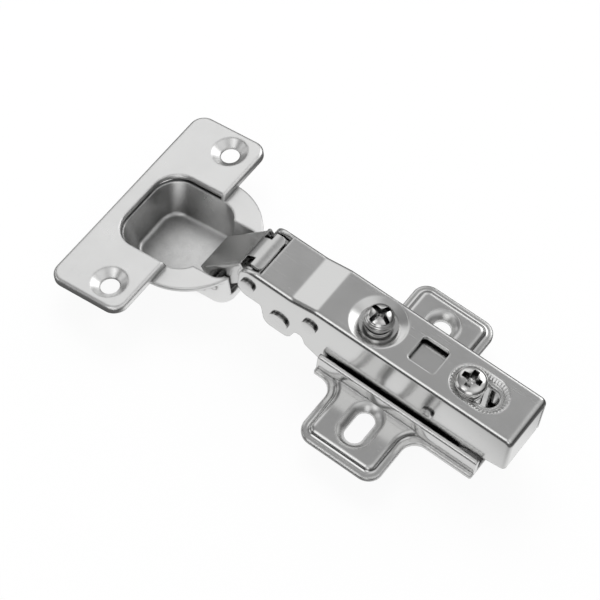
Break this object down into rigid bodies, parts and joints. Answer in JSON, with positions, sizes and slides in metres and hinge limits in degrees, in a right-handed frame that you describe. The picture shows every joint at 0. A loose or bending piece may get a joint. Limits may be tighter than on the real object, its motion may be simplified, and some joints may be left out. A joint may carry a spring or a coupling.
{
  "type": "cabinet hinge",
  "caption": "Concealed cabinet hinge: round flanged door cup joined by hidden links on riveted pins to a cranked channel arm, clamped on a cross-shaped plate with slotted wings.",
  "frame": {"origin": "on the plate's mounting face, midway between the centres of its two slots", "axes": "+X from the cup to the rear of the arm, +Y from wing to wing, +Z away from the cabinet side"},
  "size_m": [0.117, 0.0608, 0.0318],
  "materials": {
    "nickel_steel": "bright nickel-plated pressed steel",
    "screw_steel": "bright nickel-plated turned steel",
    "pin_steel": "satin nickel-plated steel",
    "spring_steel": "plain spring steel"
  },
  "bodies": {
    "plate": {"mounting_plate": "nickel_steel"},
    "arm": {"hinge_arm": "nickel_steel", "outer_link_pin": "pin_steel", "inner_link_pin": "pin_steel", "spring_pin": "pin_steel", "guide_pin": "pin_steel", "closing_spring": "spring_steel"},
    "clamp_screw": {"clamp_screw": "screw_steel"},
    "side_screw": {"side_adjusting_screw": "screw_steel"},
    "outer_link": {"outer_link": "nickel_steel"},
    "inner_link": {"inner_link": "nickel_steel"},
    "cup": {"hinge_cup": "nickel_steel", "outer_cup_pin": "pin_steel", "inner_cup_pin": "pin_steel"}
  },
  "joints": [
    {"name": "arm_depth_slide", "type": "slide", "parent": "plate", "child": "arm", "axis": [-1, 0, 0], "range_m": [0, 0.005]},
    {"name": "clamp_screw_turn", "type": "hinge", "parent": "plate", "child": "clamp_screw", "pos_m": [0.01785, 0, 0.0194], "axis": [0, 0, 1], "continuous": true},
    {"name": "side_screw_turn", "type": "hinge", "parent": "arm", "child": "side_screw", "pos_m": [-0.0082, 0, 0.0194], "axis": [0, 0, 1], "continuous": true},
    {"name": "outer_link_pivot", "type": "hinge", "parent": "arm", "child": "outer_link", "pos_m": [-0.0401, 0, 0.0132], "axis": [0, -1, 0], "range_deg": [0, 18.42]},
    {"name": "inner_link_pivot", "type": "hinge", "parent": "arm", "child": "inner_link", "pos_m": [-0.0304, 0, 0.0071], "axis": [0, -1, 0], "range_deg": [0, 32.71]},
    {"name": "cup_pivot", "type": "hinge", "parent": "outer_link", "child": "cup", "pos_m": [-0.05171, 0, 0.00219], "axis": [0, 1, 0], "range_deg": [0, 119.7]}
  ],
  "couplings": [
    {"joint": "outer_link_pivot", "follows": "cup_pivot", "ratio": 0.1538},
    {"joint": "inner_link_pivot", "follows": "cup_pivot", "ratio": 0.2732}
  ]
}
